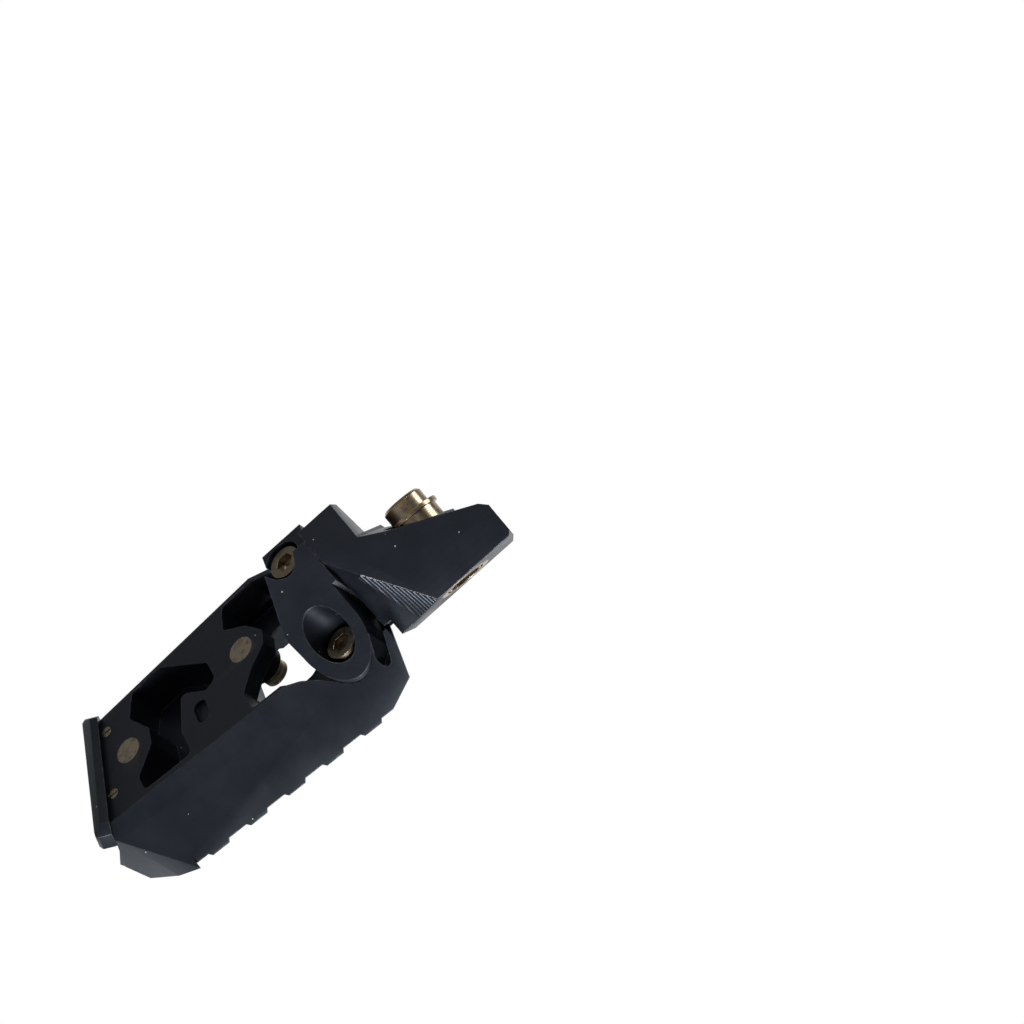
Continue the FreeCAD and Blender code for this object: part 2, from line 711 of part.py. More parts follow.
def make_hinge_lug():
    """The tongue with its eye, the shoulder against the block, the swept relief and the tenon."""
    corners = [
        ("-sizes.lug_tip", "-sizes.lug_near"),
        ("sizes.body_inner_x - 0.6", "-sizes.lug_near"),
        ("sizes.body_inner_x - 0.6", "-sizes.lug_near + 5"),
        ("sizes.shoulder_end_x", "-sizes.lug_near + 5"),
        ("sizes.shoulder_end_x", "sizes.lug_root"),
        ("sizes.lug_root_x", "sizes.lug_root"),
        ("sizes.lug_waist_x", "sizes.lug_waist"),
        ("-sizes.lug_tip", "-sizes.lug_near + sizes.lug_tip_width"),
    ]
    tongue_bar = prism("lug_tongue", corners, HINGE, "2 * sizes.lug_half_height", "-sizes.flat_offset")
    shoulder_face = clamp_profile("sizes.shoulder_tip", "sizes.block_rear_y")
    shoulder_all = prism("lug_shoulder_all", shoulder_face, END, "sizes.shoulder_end_x - sizes.shoulder_x",
                         "sizes.shoulder_x")
    front = add("Part::Box", "lug_shoulder_front", Length=OVER, Width="2 * " + OVER, Height="2 * " + OVER)
    front.setExpression("Placement.Base.x", "sizes.shoulder_x - 5")
    front.setExpression("Placement.Base.y", "-2 * %s - 6" % OVER)
    front.setExpression("Placement.Base.z", "-" + OVER)
    shoulder = cut("lug_shoulder", shoulder_all, front)
    boss = on_pin("lug_boss", BUSH + " + sizes.boss_wall", "sizes.far_boss", "0")
    solid = fuse("lug_solid", tongue_bar, shoulder, boss, tenon("lug_tenon", "0"))
    bore = on_pin("lug_bore", BUSH + " + sizes.fit_clearance", "4 * " + OVER, "-2 * " + OVER)
    seat = on_pin("lug_flange_seat", "sizes.near_flange_radius + sizes.fit_clearance",
                  OVER, "-sizes.lug_near + sizes.near_flange - " + OVER)
    far_seat = on_pin("lug_far_seat", BUSH + " + sizes.boss_wall", OVER, "sizes.far_boss")
    sweep = add("Part::Cylinder", "lug_sweep", Radius="sizes.sweep_radius", Height="4 * " + OVER)
    lean = size("sizes.sweep_angle")
    course = FreeCAD.Rotation(INWARD, lean).multVec(ALONG)
    aside = FreeCAD.Rotation(INWARD, lean - 90).multVec(ALONG)
    start = ALONG * size("sizes.sweep_start_x") - PIN * size("sizes.lug_near")
    rise = INWARD * size("-sizes.flat_offset - sqrt(sizes.sweep_radius^2 - sizes.sweep_reach^2)")
    middle = start + rise + aside * size("sizes.sweep_reach")
    sweep.Placement = FreeCAD.Placement(middle - course * size("sizes.overshoot"),
                                        FreeCAD.Rotation(UP, course))
    bolt = below("lug_bolt_way", "sizes.bolt_radius + 0.3", "sizes.bolt_rear_x", "sizes.bolt_rear_y",
                 "sizes.seat_level + 1")
    under_seat = add("Part::Box", "lug_under_seat", Length=OVER, Width="4 * " + OVER, Height=OVER)
    under_seat.setExpression("Placement.Base.x", "sizes.body_inner_x - sizes.seat_gap")
    under_seat.setExpression("Placement.Base.y", "-2 * " + OVER)
    under_seat.setExpression("Placement.Base.z", "sizes.seat_level - sizes.fit_clearance")
    return cut("hinge_lug", solid, bore, seat, far_seat, sweep, bolt, under_seat)


# Pivot


def turned(name, profile):
    """Turn a closed profile, given as radius and place along the pin, about the pivot pin."""
    body = doc.addObject("PartDesign::Body", name)
    plane = [item for item in body.Origin.OriginFeatures if item.Role == "XZ_Plane"][0]
    sketch = body.newObject("Sketcher::SketchObject", name + "_profile")
    sketch.AttachmentSupport = [(plane, "")]
    sketch.MapMode = "FlatFace"
    points = [FreeCAD.Vector(size(x), size(y), 0) for x, y in profile]
    for start, end in zip(points, points[1:] + points[:1]):
        sketch.addGeometry(Part.LineSegment(start, end), False)
    for index in range(len(points)):
        sketch.addConstraint(Sketcher.Constraint("Coincident", index, 2, (index + 1) % len(points), 1))
    pin_points(sketch, profile)
    spin = body.newObject("PartDesign::Revolution", name + "_turning")
    spin.Profile = sketch
    spin.ReferenceAxis = (sketch, ["V_Axis"])
    spin.Angle = 360
    body.Placement = FreeCAD.Placement(FreeCAD.Vector(), ON_PIN)
    return body


def make_pivot_sleeve():
    """The tube that the pin passes through, chamfered at both ends."""
    half, outer, nick = "sizes.sleeve_length / 2", "sizes.sleeve_radius", "sizes.sleeve_chamfer"
    return turned("pivot_sleeve", [
        ("sizes.pin_radius", "-" + half),
        (outer + " - " + nick, "-" + half),
        (outer, "-%s + %s" % (half, nick)),
        (outer, "%s - %s" % (half, nick)),
        (outer + " - " + nick, half),
        ("sizes.pin_radius", half),
    ])


def make_bush_near():
    """The bush whose flange is flush with the near side of the eye."""
    face = "-sizes.lug_near"
    under = face + " + sizes.near_flange"
    end = face + " + sizes.bush_length"
    return turned("bush_near", [
        (BORE, face), ("sizes.near_flange_radius", face), ("sizes.near_flange_radius", under),
        (BUSH, under), (BUSH, end), (BORE, end),
    ])


def make_bush_far():
    """The bush whose flange stands on the far boss."""
    seat = "sizes.far_boss"
    face = seat + " + sizes.far_flange"
    start = seat + " - sizes.bush_length + sizes.far_flange"
    return turned("bush_far", [
        (BORE, start), (BUSH, start), (BUSH, seat), ("sizes.far_flange_radius", seat),
        ("sizes.far_flange_radius", face), (BORE, face),
    ])


def make_spacer():
    """The ring that keeps the two bushes apart."""
    start = "-sizes.lug_near + sizes.bush_length"
    end = "sizes.far_boss - sizes.bush_length + sizes.far_flange"
    outer = BORE + " + sizes.spacer_wall"
    return turned("bush_spacer", [(BORE, start), (outer, start), (outer, end), (BORE, end)])


nodes = [make_peg_body(), make_end_plate()]
for place, side in enumerate(("front", "rear")):
    nodes.append(make_grub_screw("plate_screw_" + side, place))
for side in ("inner", "outer"):
    nodes.append(make_stud(side))
    nodes.append(make_nut(side))
nodes.append(make_joint_block())
for side in ("front", "rear"):
    nodes.append(make_bolt(side))
    nodes.append(make_washer(side))
for place, side in enumerate(("inner", "outer")):
    nodes.append(make_dowel("joint_dowel_" + side, place))
nodes.append(make_hinge_lug())
nodes.append(make_pivot_sleeve())
nodes.append(make_bush_near())
nodes.append(make_bush_far())
nodes.append(make_spacer())
doc.recompute()

for item in doc.Objects:
    if "Invalid" in item.State or "Error" in item.State:
        raise RuntimeError("failed to build: " + item.Name)
for node in nodes:
    if node.Shape.isNull() or not node.Shape.isValid() or len(node.Shape.Solids) != 1:
        raise RuntimeError("bad shape: %s, %d solids" % (node.Name, len(node.Shape.Solids)))

os.makedirs("parts", exist_ok=True)
for node in nodes:
    node.Label = node.Name
    node.Shape.exportStep("parts/%s.step" % node.Label)
    box = node.Shape.BoundBox
    print("%-20s %9.1f mm3  X %6.1f %6.1f  Y %6.1f %6.1f  Z %6.1f %6.1f" % (
        node.Label, node.Shape.Volume, box.XMin, box.XMax, box.YMin, box.YMax, box.ZMin, box.ZMax))
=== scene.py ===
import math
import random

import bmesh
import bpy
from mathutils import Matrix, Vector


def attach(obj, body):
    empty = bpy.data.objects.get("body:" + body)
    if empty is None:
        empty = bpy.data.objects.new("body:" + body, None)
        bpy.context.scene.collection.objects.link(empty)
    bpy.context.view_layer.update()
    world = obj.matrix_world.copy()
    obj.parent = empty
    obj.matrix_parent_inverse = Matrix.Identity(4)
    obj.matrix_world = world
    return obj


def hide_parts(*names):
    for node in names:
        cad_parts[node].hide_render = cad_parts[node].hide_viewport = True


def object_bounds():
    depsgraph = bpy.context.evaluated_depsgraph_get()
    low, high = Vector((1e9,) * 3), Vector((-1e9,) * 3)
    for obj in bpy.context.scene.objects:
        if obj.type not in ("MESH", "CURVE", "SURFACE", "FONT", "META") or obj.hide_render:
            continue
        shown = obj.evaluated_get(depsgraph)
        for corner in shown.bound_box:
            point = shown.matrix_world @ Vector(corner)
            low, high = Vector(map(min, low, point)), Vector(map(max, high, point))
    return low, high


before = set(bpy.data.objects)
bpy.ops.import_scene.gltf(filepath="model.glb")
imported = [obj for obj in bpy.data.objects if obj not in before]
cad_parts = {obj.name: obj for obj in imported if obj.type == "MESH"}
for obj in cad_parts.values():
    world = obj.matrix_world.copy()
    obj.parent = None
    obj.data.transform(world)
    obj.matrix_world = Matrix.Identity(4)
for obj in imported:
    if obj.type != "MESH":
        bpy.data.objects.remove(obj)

# %% [markdown]
# # A folding foot peg in black anodised aluminium
# The object is a milled foot peg with a clamp block, a hinge lug and a stainless pivot. Its pieces come
# packed at their real size, so this script gives each one its finish, carves finer copies of the four
# milled ones, and lights the scene.
# The first cell keeps the size of the model as it arrives.

MM = 0.001
cad_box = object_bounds()
print("size in mm:", [round((high - low) / MM, 1) for low, high in zip(*cad_box)])

# %% [markdown]
# ## Small helpers
# Colours are written as the hex values a paint chart would give, and one function turns them to the
# linear values that the renderer adds up. One more function adds a node with its settings and links,
# because every finish below is a small network of the same few node types. A Mix node that is set to
# colours takes its factor on socket 0 and the two colours on sockets 6 and 7, and gives the blend as
# its output 2.

# %% Colour and node helpers
COLOURS = {"data_type": "RGBA"}
TIMES = {"operation": "MULTIPLY"}
BEVEL_QUALITY = {"samples": 6}


def linear(hex_colour):
    """Turn an sRGB hex colour into linear red, green, blue and alpha."""
    channels = [int(hex_colour[i:i + 2], 16) / 255 for i in (1, 3, 5)]
    return [c / 12.92 if c <= 0.04045 else ((c + 0.055) / 1.055) ** 2.4 for c in channels] + [1.0]


def node(tree, kind, settings=None, **links):
    """Add a node, set its properties, and set or link its inputs by name."""
    made = tree.nodes.new(kind)
    for name, value in (settings or {}).items():
        setattr(made, name, value)
    for name, value in links.items():
        socket = made.inputs[int(name[1:])] if name[1:].isdigit() else made.inputs[name.replace("_", " ")]
        if isinstance(value, bpy.types.NodeSocket):
            tree.links.new(value, socket)
        else:
            socket.default_value = value
    return made


def new_material(name):
    """Make an empty node material and return it with its tree, shader and object coordinates."""
    material = bpy.data.materials.new(name)
    material.use_nodes = True
    tree = material.node_tree
    shader = tree.nodes["Principled BSDF"]
    place = node(tree, "ShaderNodeTexCoord").outputs["Object"]
    return material, tree, shader, place


def per_mm(spacing):
    """Scale of a texture whose features are this many millimetres apart."""
    return 1 / (spacing * MM)


def waves_per_mm(spacing):
    """Scale of a wave texture whose bands are this many millimetres apart."""
    return per_mm(spacing * 20 / math.tau)


def edge_wear(tree, reach, start, end):
    """How near a point is to a sharp edge: 0 on a face, 1 on the edge."""
    bevel = node(tree, "ShaderNodeBevel", BEVEL_QUALITY, Radius=reach * MM)
    plain = node(tree, "ShaderNodeNewGeometry").outputs["Normal"]
    match = node(tree, "ShaderNodeVectorMath", {"operation": "DOT_PRODUCT"},
                 _0=bevel.outputs["Normal"], _1=plain)
    ramp = node(tree, "ShaderNodeMapRange", {"clamp": True}, Value=match.outputs["Value"],
                From_Min=start, From_Max=end, To_Min=0.0, To_Max=1.0)
    return ramp.outputs["Result"]


print("white is", linear("#FFFFFF"))

# %% [markdown]
# ## Black anodised aluminium
# The body, block, lug and end plate are milled from bar and dyed black by anodising. The oxide layer
# is a clear, slightly rough skin over the dye, so the metal reads as near black with a soft grey sheen.
# It could be a plain dark plastic shader, but the oxide takes its gleam from the milled surface below.
# Fine cutter lines bend the light, sharp edges are worn thin to a paler grey, and a few small chips
# show bare metal. Cutter lines are really about 0.1 mm apart. They are drawn 2.2 mm apart, as shallow
# waves, because lines at their real spacing would vanish between the render's pixels. The shader is
# about a third metal with a thin clear coat, and its sheen is a little blue, as the dye's is.

# %% Anodised finish
CUTTER_LINES = 2.199
BLUE_SHEEN = (0.82, 0.9, 1.0, 1.0)


def anodised_aluminium(name, cutter_turn, wear_amount):
    """Black anodised metal with cutter lines, a cloudy dye, pale worn edges and small chips."""
    material, tree, shader, place = new_material(name)
    turned = node(tree, "ShaderNodeMapping", Vector=place, Rotation=cutter_turn).outputs[0]
    lines = node(tree, "ShaderNodeTexWave", {"bands_direction": "X"}, Vector=turned,
                 Scale=waves_per_mm(CUTTER_LINES), Distortion=1.2, Detail=2.0,
                 Detail_Scale=1.5).outputs["Fac"]
    grain = node(tree, "ShaderNodeTexNoise", Vector=place, Scale=per_mm(0.25), Detail=3.0).outputs["Fac"]
    cloud = node(tree, "ShaderNodeTexNoise", Vector=place, Scale=per_mm(14), Detail=4.0,
                 Roughness=0.6).outputs["Fac"]
    dye = node(tree, "ShaderNodeMix", COLOURS, _0=cloud, _6=linear("#10131A"),
               _7=linear("#181C25")).outputs[2]
    # Worn edges: the bevel test finds them, and noise breaks the line up.
    patch = node(tree, "ShaderNodeTexNoise", Vector=place, Scale=per_mm(2.2), Detail=3.0).outputs["Fac"]
    patchy = node(tree, "ShaderNodeMapRange", {"clamp": True}, Value=patch, From_Min=0.42, From_Max=0.68,
                  To_Min=0.12, To_Max=1.0).outputs["Result"]
    edge = edge_wear(tree, 0.45, 0.985, 0.86)
    worn = node(tree, "ShaderNodeMath", TIMES, _0=edge, _1=patchy).outputs[0]
    worn = node(tree, "ShaderNodeMath", TIMES, _0=worn, _1=wear_amount).outputs[0]
    coloured = node(tree, "ShaderNodeMix", COLOURS, _0=worn, _6=dye, _7=linear("#8D8E92")).outputs[2]
    # Chips and specks: the cores of a few cells in a fine cell pattern.
    cells = node(tree, "ShaderNodeTexVoronoi", {"feature": "F1"}, Vector=place, Scale=per_mm(3.4),
                 Randomness=1.0)
    chip = node(tree, "ShaderNodeMapRange", {"clamp": True}, Value=cells.outputs["Distance"],
                From_Min=0.075, From_Max=0.055, To_Min=0.0, To_Max=1.0).outputs["Result"]
    rare = node(tree, "ShaderNodeSeparateColor", Color=cells.outputs["Color"]).outputs[0]
    chosen = node(tree, "ShaderNodeMath", {"operation": "GREATER_THAN"}, _0=rare, _1=0.86).outputs[0]
    bare_spot = node(tree, "ShaderNodeMath", TIMES, _0=chip, _1=chosen).outputs[0]
    coloured = node(tree, "ShaderNodeMix", COLOURS, _0=bare_spot, _6=coloured,
                    _7=linear("#B9BABC")).outputs[2]
    tree.links.new(coloured, shader.inputs["Base Color"])
    rough = node(tree, "ShaderNodeMapRange", Value=cloud, From_Min=0.3, From_Max=0.7, To_Min=0.36,
                 To_Max=0.5).outputs["Result"]
    tree.links.new(rough, shader.inputs["Roughness"])
    shader.inputs["Metallic"].default_value = 0.3
    shader.inputs["Specular Tint"].default_value = BLUE_SHEEN
    shader.inputs["Coat Weight"].default_value = 0.12
    shader.inputs["Coat Roughness"].default_value = 0.22
    relief = node(tree, "ShaderNodeMath", {"operation": "MULTIPLY_ADD"}, _0=grain, _1=0.5, _2=lines)
    round_edge = node(tree, "ShaderNodeBevel", BEVEL_QUALITY, Radius=0.3 * MM)
    bump = node(tree, "ShaderNodeBump", Height=relief.outputs[0], Distance=0.012 * MM, Strength=0.6,
                Normal=round_edge.outputs["Normal"])
    tree.links.new(bump.outputs["Normal"], shader.inputs["Normal"])
    return material


FLAT_TURN = (0.0, 0.0, math.radians(5))
PIN_TURN = (math.radians(45), 0.0, math.radians(90))
PLATE_TURN = (0.0, 0.0, math.radians(12))
black_body = anodised_aluminium("black anodised aluminium, body", FLAT_TURN, 0.35)
black_joint = anodised_aluminium("black anodised aluminium, joint", PIN_TURN, 0.45)
black_plate = anodised_aluminium("black anodised aluminium, end plate", PLATE_TURN, 0.9)
print("anodised finishes:", black_body.name, "/", black_joint.name, "/", black_plate.name)

# %% [markdown]
# ## Turned stainless steel
# The pivot sleeve, the bushes and the fasteners are turned from stainless bar. Turning leaves fine rings
# round the axis, and years of heat and dirt leave a warm straw tint. Rings are drawn as a wave along
# the piece's own axis, so the light breaks into bands. Their real spacing is about 0.1 mm. They are
# drawn 1.9 mm apart to show. A plain metal with an anisotropic shine would streak the light in the same
# way, but the bands would not be seen from close by.

# %% Stainless finishes
TURNING_RINGS = 1.885


def turned_stainless(name, turn, tint, roughness):
    """Stainless steel with turning rings across the axis and a warm tint."""
    material, tree, shader, place = new_material(name)
    turned = node(tree, "ShaderNodeMapping", Vector=place, Rotation=turn).outputs[0]
    rings = node(tree, "ShaderNodeTexWave", {"bands_direction": "Z"}, Vector=turned,
                 Scale=waves_per_mm(TURNING_RINGS), Distortion=0.4, Detail=2.0).outputs["Fac"]
    stain = node(tree, "ShaderNodeTexNoise", Vector=place, Scale=per_mm(3.0), Detail=5.0,
                 Roughness=0.65).outputs["Fac"]
    dirt = node(tree, "ShaderNodeMapRange", {"clamp": True}, Value=stain, From_Min=0.48, From_Max=0.66,
                To_Min=0.0, To_Max=0.75).outputs["Result"]
    bright = node(tree, "ShaderNodeMix", COLOURS, _0=rings, _6=linear(tint),
                  _7=linear("#B9AC98")).outputs[2]
    coloured = node(tree, "ShaderNodeMix", COLOURS, _0=dirt, _6=bright, _7=linear("#5E5145")).outputs[2]
    tree.links.new(coloured, shader.inputs["Base Color"])
    shader.inputs["Metallic"].default_value = 1.0
    rough = node(tree, "ShaderNodeMapRange", Value=stain, From_Min=0.3, From_Max=0.7,
                 To_Min=roughness - 0.08, To_Max=roughness + 0.12).outputs["Result"]
    tree.links.new(rough, shader.inputs["Roughness"])
    round_edge = node(tree, "ShaderNodeBevel", BEVEL_QUALITY, Radius=0.2 * MM)
    bump = node(tree, "ShaderNodeBump", Height=rings, Distance=0.01 * MM, Strength=0.5,
                Normal=round_edge.outputs["Normal"])
    tree.links.new(bump.outputs["Normal"], shader.inputs["Normal"])
    return material


ALONG_PIN = (math.radians(45), 0.0, 0.0)
UPRIGHT = (0.0, 0.0, 0.0)
pivot_steel = turned_stainless("turned stainless steel, pivot", ALONG_PIN, "#A8906F", 0.3)
fastener_steel = turned_stainless("stainless steel, fasteners", UPRIGHT, "#948670", 0.32)
print("stainless finishes:", pivot_steel.name, "/", fastener_steel.name)

# %% [markdown]
# ## Black oxide steel
# The round nuts on the studs look darker than the other fasteners, as steel does that was blued in a hot
# black oxide bath. The skin is thin and oily, so a metal's gleam shows over a near-black colour. It could
# be black paint, but paint would hide that gleam, so this is a metal with a dark, slightly stained colour.

# %% Black oxide finish


def black_oxide_steel():
    """Steel with a blued, oily black oxide skin."""
    material, tree, shader, place = new_material("black oxide steel, round nuts")
    stain = node(tree, "ShaderNodeTexNoise", Vector=place, Scale=per_mm(1.8), Detail=4.0).outputs["Fac"]
    coloured = node(tree, "ShaderNodeMix", COLOURS, _0=stain, _6=linear("#1D1E22"),
                    _7=linear("#33322F")).outputs[2]
    tree.links.new(coloured, shader.inputs["Base Color"])
    rough = node(tree, "ShaderNodeMapRange", Value=stain, From_Min=0.3, From_Max=0.7, To_Min=0.28,
                 To_Max=0.45).outputs["Result"]
    tree.links.new(rough, shader.inputs["Roughness"])
    shader.inputs["Metallic"].default_value = 0.85
    return material


nut_steel = black_oxide_steel()
print("dark steel finish:", nut_steel.name)

# %% [markdown]
# ## Bare aluminium
# Where the black skin has chipped off or worn thin, the paler metal shows. This could be a mask inside
# the black finish, but the chipped line and the ridges are pieces of their own here, so they take a
# finish of their own. It is made twice: bright for the chips, and dark grey for the ridges. On the
# ridges the paler grey is partly skin worn thin and partly a painted sheen where they catch the light.

# %% Bare aluminium finishes


def bare_metal_and_sheen(name, dull, bright):
    """Aluminium where the black skin is thin or has chipped off: paler, a little rough."""
    # """Paler, a little rough aluminium: chipped skin, and on the ridges thin skin with a painted sheen."""
    material, tree, shader, place = new_material(name)
    speck = node(tree, "ShaderNodeTexNoise", Vector=place, Scale=per_mm(0.5), Detail=3.0).outputs["Fac"]
    coloured = node(tree, "ShaderNodeMix", COLOURS, _0=speck, _6=linear(dull), _7=linear(bright)).outputs[2]
    tree.links.new(coloured, shader.inputs["Base Color"])
    shader.inputs["Metallic"].default_value = 0.7
    shader.inputs["Roughness"].default_value = 0.42
    return material


chip_metal = bare_metal_and_sheen("bare aluminium, chipped edge", "#9FA1A5", "#F1F2F4")
# The ridge finish is paler than the black skin: partly skin worn thin, partly a painted sheen.
ridge_thin_skin_and_sheen = bare_metal_and_sheen("worn anodised aluminium, ridge crests", "#1C2028", "#474D57")
print("bare metal and painted sheen finishes:", chip_metal.name, "/", ridge_thin_skin_and_sheen.name)

# %% [markdown]
# ## Natural nylon
# The ring between the two bushes is turned from natural nylon, which is milky and slightly translucent.
# It could be made of true glassy layers, but it sits inside the eye, so a soft pale plastic with a
# little light under its skin is enough.

# %% Nylon finish
LIGHT_REACH = (0.001, 0.001, 0.0008)


def natural_nylon():
    """Milky plastic with faint turning marks."""
    material, tree, shader, place = new_material("natural nylon, turned")
    marks = node(tree, "ShaderNodeTexNoise", Vector=place, Scale=per_mm(0.6), Detail=2.0).outputs["Fac"]
    coloured = node(tree, "ShaderNodeMix", COLOURS, _0=marks, _6=linear("#CFC9BA"),
                    _7=linear("#DDD8CB")).outputs[2]
    tree.links.new(coloured, shader.inputs["Base Color"])
    shader.inputs["Roughness"].default_value = 0.5
    shader.inputs["Subsurface Weight"].default_value = 0.15
    shader.inputs["Subsurface Radius"].default_value = LIGHT_REACH
    return material


nylon = natural_nylon()
print("plastic finish:", nylon.name)

# %% [markdown]
# ## Giving each piece its finish
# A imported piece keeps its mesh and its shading, and only gets a new material. Each could be dressed by
# itself, but one table shows at a glance which finish goes on which pieces. The carved copies further
# down take the same finishes again.

# %% Assign the finishes
FINISHES = {
    black_body: ["peg_body"],
    black_joint: ["joint_block", "hinge_lug"],
    black_plate: ["end_plate"],
    pivot_steel: ["pivot_sleeve", "bush_near", "bush_far"],
    fastener_steel: ["plate_screw_front", "plate_screw_rear", "body_stud_inner", "body_stud_outer",
                     "joint_bolt_front", "joint_bolt_rear",
                     "joint_washer_front", "joint_washer_rear", "joint_dowel_inner", "joint_dowel_outer"],
    nut_steel: ["stud_nut_inner", "stud_nut_outer"],
    nylon: ["bush_spacer"],
}
for finish, names in FINISHES.items():
    for name in names:
        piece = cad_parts[name]
        piece.data.materials.clear()
        piece.data.materials.append(finish)
dressed = sum(len(names) for names in FINISHES.values())
print("pieces dressed:", dressed, "of", len(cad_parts))

# %% [markdown]
# ## Carving finer copies of the milled pieces
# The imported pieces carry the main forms. Sloped ends, chamfers, slots and small joined-on forms are made
# on copies of them, and each copy takes its node's place. Cutting solids is done with boolean modifiers,
# the way a milling cutter takes metal away. A bevel then breaks each sharp edge that has room for it,
# by about a fifth of a millimetre, as a deburring tool does. Where edges lie closer together, only the
# finish rounds them. The points are given in millimetres, some along the pivot pin.

# %% Points and solids
PIN = Vector((0, 1, -1)).normalized()
INWARD = Vector((0, 1, 1)).normalized()


def on_hinge(x, along, inward):
    """A point from millimetres along X, along the pin and into the part."""
    return (Vector((x, 0, 0)) + PIN * along + INWARD * inward) * MM


def in_mm(points):
    """Turn points in millimetres into points in metres."""
    return [Vector(point) * MM for point in points]


def circle(x, y, radius, step):
    """Points on a circle in plan, in millimetres, one every so many degrees."""
    angles = [math.radians(degrees) for degrees in range(0, 360, step)]
    return [(x + radius * math.cos(angle), y + radius * math.sin(angle)) for angle in angles]


def piece_from(name, corners, faces):
    """Link a new mesh object built from corners and faces."""
    mesh = bpy.data.meshes.new(name)
    mesh.from_pydata(corners, [], faces)
    piece = bpy.data.objects.new(name, mesh)
    bpy.context.scene.collection.objects.link(piece)
    return piece


def copy_of(node_name, name):
    """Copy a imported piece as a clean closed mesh."""
    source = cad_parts[node_name].data
    corners = [v.co.copy() for v in source.vertices]
    piece = piece_from(name, corners, [list(f.vertices) for f in source.polygons])
    builder = bmesh.new()
    builder.from_mesh(piece.data)
    bmesh.ops.remove_doubles(builder, verts=builder.verts, dist=0.002 * MM)
    builder.to_mesh(piece.data)
    builder.free()
    return piece


def hull(name, points):
    """The closed solid that wraps a set of points."""
    piece = piece_from(name, points, [])
    builder = bmesh.new()
    builder.from_mesh(piece.data)
    bmesh.ops.convex_hull(builder, input=builder.verts)
    bmesh.ops.recalc_face_normals(builder, faces=builder.faces)
    builder.to_mesh(piece.data)
    builder.free()
    return piece


def extruded(name, outline, low, high):
    """A solid over a plan outline in millimetres, between two levels."""
    count = len(outline)
    corners = in_mm([(x, y, z) for z in (low, high) for x, y in outline])
    sides = [(i, (i + 1) % count, (i + 1) % count + count, i + count) for i in range(count)]
    ends = [tuple(range(count))[::-1], tuple(range(count, 2 * count))]
    piece = piece_from(name, corners, sides + ends)
    builder = bmesh.new()
    builder.from_mesh(piece.data)
    bmesh.ops.recalc_face_normals(builder, faces=builder.faces)
    builder.to_mesh(piece.data)
    builder.free()
    return piece


def beyond(name, point, inward_normal, reach=60.0):
    """A block that fills everything on the outer side of a plane, near a point in millimetres."""
    turn = Vector(inward_normal).normalized().to_track_quat("Z", "Y")
    foot = Vector(point) * MM
    points = [foot + turn @ (Vector((x, y, z)) * reach * MM)
              for x in (-1, 1) for y in (-1, 1) for z in (-1, 0)]
    return hull(name, points)


print("the pin runs along", [round(c, 3) for c in PIN])

# %% Cut, join and finish
EDGE_BREAK, WELD = 0.22, 0.004
ROOM_NEEDED = 2.5
SHARP_ANGLE = math.radians(32)
SMOOTH_ANGLE = math.radians(24)
FLAT_ANGLE = math.radians(0.6)


def take(piece, modifier_kind, **settings):
    """Add a modifier, apply it and keep the result as the piece's own mesh."""
    change = piece.modifiers.new("change", modifier_kind)
    for key, value in settings.items():
        setattr(change, key, value)
    bpy.context.view_layer.update()
    graph = bpy.context.evaluated_depsgraph_get()
    mesh = bpy.data.meshes.new_from_object(piece.evaluated_get(graph))
    piece.modifiers.clear()
    piece.data = mesh


def carve(piece, tool, operation="DIFFERENCE"):
    """Cut a tool out of a piece, or join it on."""
    take(piece, "BOOLEAN", operation=operation, solver="EXACT", object=tool)
    bpy.data.objects.remove(tool)


def finish_edges(piece, width, weld=WELD):
    """Merge flat faces, bevel the sharp edges that have room and shade round faces smooth."""
    builder = bmesh.new()
    builder.from_mesh(piece.data)
    bmesh.ops.remove_doubles(builder, verts=builder.verts, dist=weld * MM)
    bmesh.ops.dissolve_limit(builder, angle_limit=FLAT_ANGLE, verts=builder.verts, edges=builder.edges)
    weight = builder.edges.layers.float.new("bevel_weight_edge")
    room = ROOM_NEEDED * width * MM
    for edge in builder.edges:
        near = [other.calc_length() for end in edge.verts for other in end.link_edges]
        if edge.calc_face_angle(0) > SHARP_ANGLE and min(near) > room:
            edge[weight] = 1.0
    builder.to_mesh(piece.data)
    builder.free()
    take(piece, "BEVEL", width=width * MM, segments=2, limit_method="WEIGHT", profile=0.6)
    piece.data.polygons.foreach_set("use_smooth", [True] * len(piece.data.polygons))
    piece.data.set_sharp_from_angle(angle=SMOOTH_ANGLE)


def stand_in(piece, node_name, finish):
    """Let a finished copy take its node's place."""
    piece.data.materials.clear()
    piece.data.materials.append(finish)
    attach(piece, "peg")
    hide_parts(node_name)
    print(piece.name, "faces:", len(piece.data.polygons))


print("edge break in mm:", EDGE_BREAK)

# %% [markdown]
# ## The hinge lug
# The real lug is a flat tongue whose end slopes away behind its face, so from below only the face shows.
# Its shoulder slopes the same way, and two cuts trim the eye's far side. The corners could be dragged by
# hand, but each cut is made with a solid that wraps a few points, so every new face is flat and its
# place and lean are known.

# %% Carve the lug
TIP_X, NEAR, FLAT = -22.0, -14.15, -9.0
TONGUE_END_WIDTH, CORNER_RUN, CLEAR = 11.5, 1.3, 3
TIP_LEAN, SHOULDER_LEAN = 18.1, 12.0
SHOULDER_X, SHOULDER_ALONG = 13.4, 14.4
BELOW_TONGUE, ABOVE_TONGUE, ABOVE_LUG = -10, 11, 31
BOSS_LINE = ((-30, -6.13), (5.5, 9.53))
SIDE_ALONG, SIDE_RISE, SIDE_LEAN = 1.81, 0.4523, 0.0771
LUG_WELD = 0.03


def leaning(x, degrees, inward):
    """X of a face that starts at x on the flat and leans away with depth."""
    return x + (inward - FLAT) * math.tan(math.radians(degrees))


def tongue_side(x, inward):
    """Place along the pin of the tongue's far side, which leans so that it hides behind the face."""
    return SIDE_ALONG + SIDE_RISE * (x + 12) - SIDE_LEAN * (inward - FLAT)


